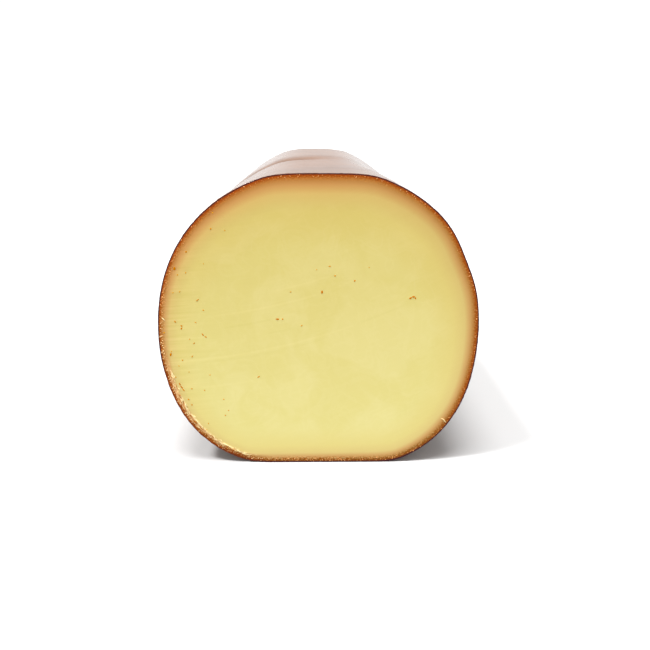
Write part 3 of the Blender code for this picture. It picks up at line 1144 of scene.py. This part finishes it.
def build_flecks(sizes, colours):
    """Small flecks of paste that cling to the cut rind, thickest and palest low on the left; the
    tan ones round the rim stand partly for painted glints of light.
    """
    log = Log(sizes)
    draw = random.Random(sizes.seed + 1)
    bm = bmesh.new()
    paleness = bm.verts.layers.float.new("paleness")
    for _ in range(sizes.flecks):
        angle = draw.uniform(0.0, 360.0)
        crowded, ragged = window(angle, *CROWDED), window(angle, *RAGGED)
        if draw.random() > 0.2 + 0.5 * crowded + 0.3 * ragged:
            continue
        depth = draw.triangular(0.35, 1.9, 0.7 + 0.4 * crowded) * MM
        inward = log.inward(angle)
        middle = log.edge(angle) + inward * depth
        middle.y += log.rim_forward(angle, depth)
        size = draw.uniform(*FLECK_SIZES) * MM
        turn = degrees(atan2(inward.z, inward.x)) + draw.uniform(-50, 50)
        long = size * draw.uniform(1.0, 2.6)
        made = add_blob(bm, middle, long, size, 0.5 * size, turn, FLECK_ROUGHNESS)
        for corner in made:
            corner[paleness] = ragged * draw.random()
    finish_piece(bm, "paste_flecks", (fleck_material(colours),))


# The room: the floor's and the wall's half width, the wall's distance, and where the lights stand
ROOM = 4.0
WALL_DISTANCE = 3.9
FLOOR_GREY = shade(200, 200, 200)
OVERHEAD_PLACE = (-0.01, -0.22, 1.0)
SIDE_PLACE = (-0.51, -0.33, 1.0)

# The camera: sensor and lens in millimetres, tilt down and turn to the right in degrees
SENSOR, LENS = 36.0, 45.54
CAMERA_ACROSS = -1.3 * MM
CAMERA_TILT, CAMERA_TURN = 13.80, 0.709


def add_sheet(name, matrix, material):
    bm = bmesh.new()
    bmesh.ops.create_grid(bm, x_segments=1, y_segments=1, size=ROOM, matrix=matrix)
    sheet = add_mesh(bm, name, (material,))


def build_room(stage):
    """A pale floor, and a bright white wall well behind the log."""
    grey = linear(FLOOR_GREY)
    pale = Recipe("pale floor", 1.0, Base_Color=grey, Specular_IOR_Level=0.0)
    add_sheet("floor", Matrix.Identity(4), pale.material)
    glow = {"Emission_Color": WHITE, "Emission_Strength": stage.backdrop}
    white = Recipe("white wall", 1.0, Base_Color=BLACK, **glow)
    upright = Matrix.Translation((0.0, WALL_DISTANCE, ROOM)) @ Matrix.Rotation(pi / 2, 4, "X")
    add_sheet("backdrop", upright, white.material)


def add_light(name, strength, width, location):
    """A distant light that shines from there towards the origin."""
    lamp = bpy.data.lights.new(name, "SUN")
    lamp.energy = strength
    lamp.angle = width
    holder = add_object(name, lamp)
    holder.location = location
    holder.rotation_euler = (-holder.location).to_track_quat("-Z", "Y").to_euler()


def build_lights(stage):
    add_light("overhead light", stage.overhead, stage.overhead_width, OVERHEAD_PLACE)
    add_light("side light", stage.side, stage.side_width, SIDE_PLACE)


def build_camera(stage, cut_y):
    camera = bpy.data.cameras.new("camera")
    camera.sensor_width = SENSOR
    camera.lens = LENS
    camera.dof.use_dof = False
    holder = add_object("camera", camera)
    holder.location = (CAMERA_ACROSS, cut_y - stage.camera_distance, stage.camera_height)
    holder.rotation_euler = (radians(90 - CAMERA_TILT), 0.0, radians(-CAMERA_TURN))
    bpy.context.scene.camera = holder


def build_world(brightness):
    world = bpy.data.worlds.new("white surroundings")
    world.use_nodes = True
    background = world.node_tree.nodes["Background"]
    background.inputs["Color"].default_value = WHITE
    background.inputs["Strength"].default_value = brightness
    bpy.context.scene.world = world
    bpy.context.scene.view_settings.view_transform = "Standard"


class SMOKEDGOUDA_OT_log(bpy.types.Operator):
    """Model the log with its rind and its cut face"""

    bl_idname = "smokedgouda.log"
    bl_label = "Log"

    def execute(self, context):
        build_log(context.scene.gouda_sizes, context.scene.gouda_colours)
        return {"FINISHED"}


class SMOKEDGOUDA_OT_crumbs(bpy.types.Operator):
    """Place the crumbs of rind on the cut face"""

    bl_idname = "smokedgouda.crumbs"
    bl_label = "Crumbs"

    def execute(self, context):
        build_crumbs(context.scene.gouda_sizes, context.scene.gouda_colours)
        return {"FINISHED"}


class SMOKEDGOUDA_OT_shreds(bpy.types.Operator):
    """Lay the torn shreds and flecks along the rim of the cut"""

    bl_idname = "smokedgouda.shreds"
    bl_label = "Shreds and flecks"

    def execute(self, context):
        build_shreds(context.scene.gouda_sizes, context.scene.gouda_colours)
        build_flecks(context.scene.gouda_sizes, context.scene.gouda_colours)
        return {"FINISHED"}


class SMOKEDGOUDA_OT_stage(bpy.types.Operator):
    """Set the floor, the light and the camera"""

    bl_idname = "smokedgouda.stage"
    bl_label = "Stage"

    def execute(self, context):
        stage = context.scene.gouda_stage
        build_room(stage)
        build_world(stage.surroundings)
        build_lights(stage)
        build_camera(stage, -context.scene.gouda_sizes.length / 2)
        return {"FINISHED"}


class SMOKEDGOUDA_PT_panel(bpy.types.Panel):
    bl_idname = "SMOKEDGOUDA_PT_panel"
    bl_label = "Smoked gouda"
    bl_space_type = "VIEW_3D"
    bl_region_type = "UI"
    bl_category = "Smoked gouda"

    def draw(self, context):
        for group in ("gouda_sizes", "gouda_colours", "gouda_stage"):
            settings = getattr(context.scene, group)
            box = self.layout.box()
            for name in settings.__annotations__:
                box.prop(settings, name)
        for operator in OPERATORS:
            self.layout.operator(operator.bl_idname)


OPERATORS = (
    SMOKEDGOUDA_OT_stage,
    SMOKEDGOUDA_OT_log,
    SMOKEDGOUDA_OT_crumbs,
    SMOKEDGOUDA_OT_shreds,
)
CLASSES = (GoudaSizes, GoudaColours, GoudaStage, *OPERATORS, SMOKEDGOUDA_PT_panel)


def register():
    for cls in CLASSES:
        bpy.utils.register_class(cls)
    bpy.types.Scene.gouda_sizes = PointerProperty(type=GoudaSizes)
    bpy.types.Scene.gouda_colours = PointerProperty(type=GoudaColours)
    bpy.types.Scene.gouda_stage = PointerProperty(type=GoudaStage)


def unregister():
    del bpy.types.Scene.gouda_stage
    del bpy.types.Scene.gouda_colours
    del bpy.types.Scene.gouda_sizes
    for cls in reversed(CLASSES):
        bpy.utils.unregister_class(cls)


def main():
    register()
    bpy.ops.smokedgouda.stage()
    bpy.ops.smokedgouda.log()
    bpy.ops.smokedgouda.crumbs()
    bpy.ops.smokedgouda.shreds()


if __name__ == "__main__":
    main()
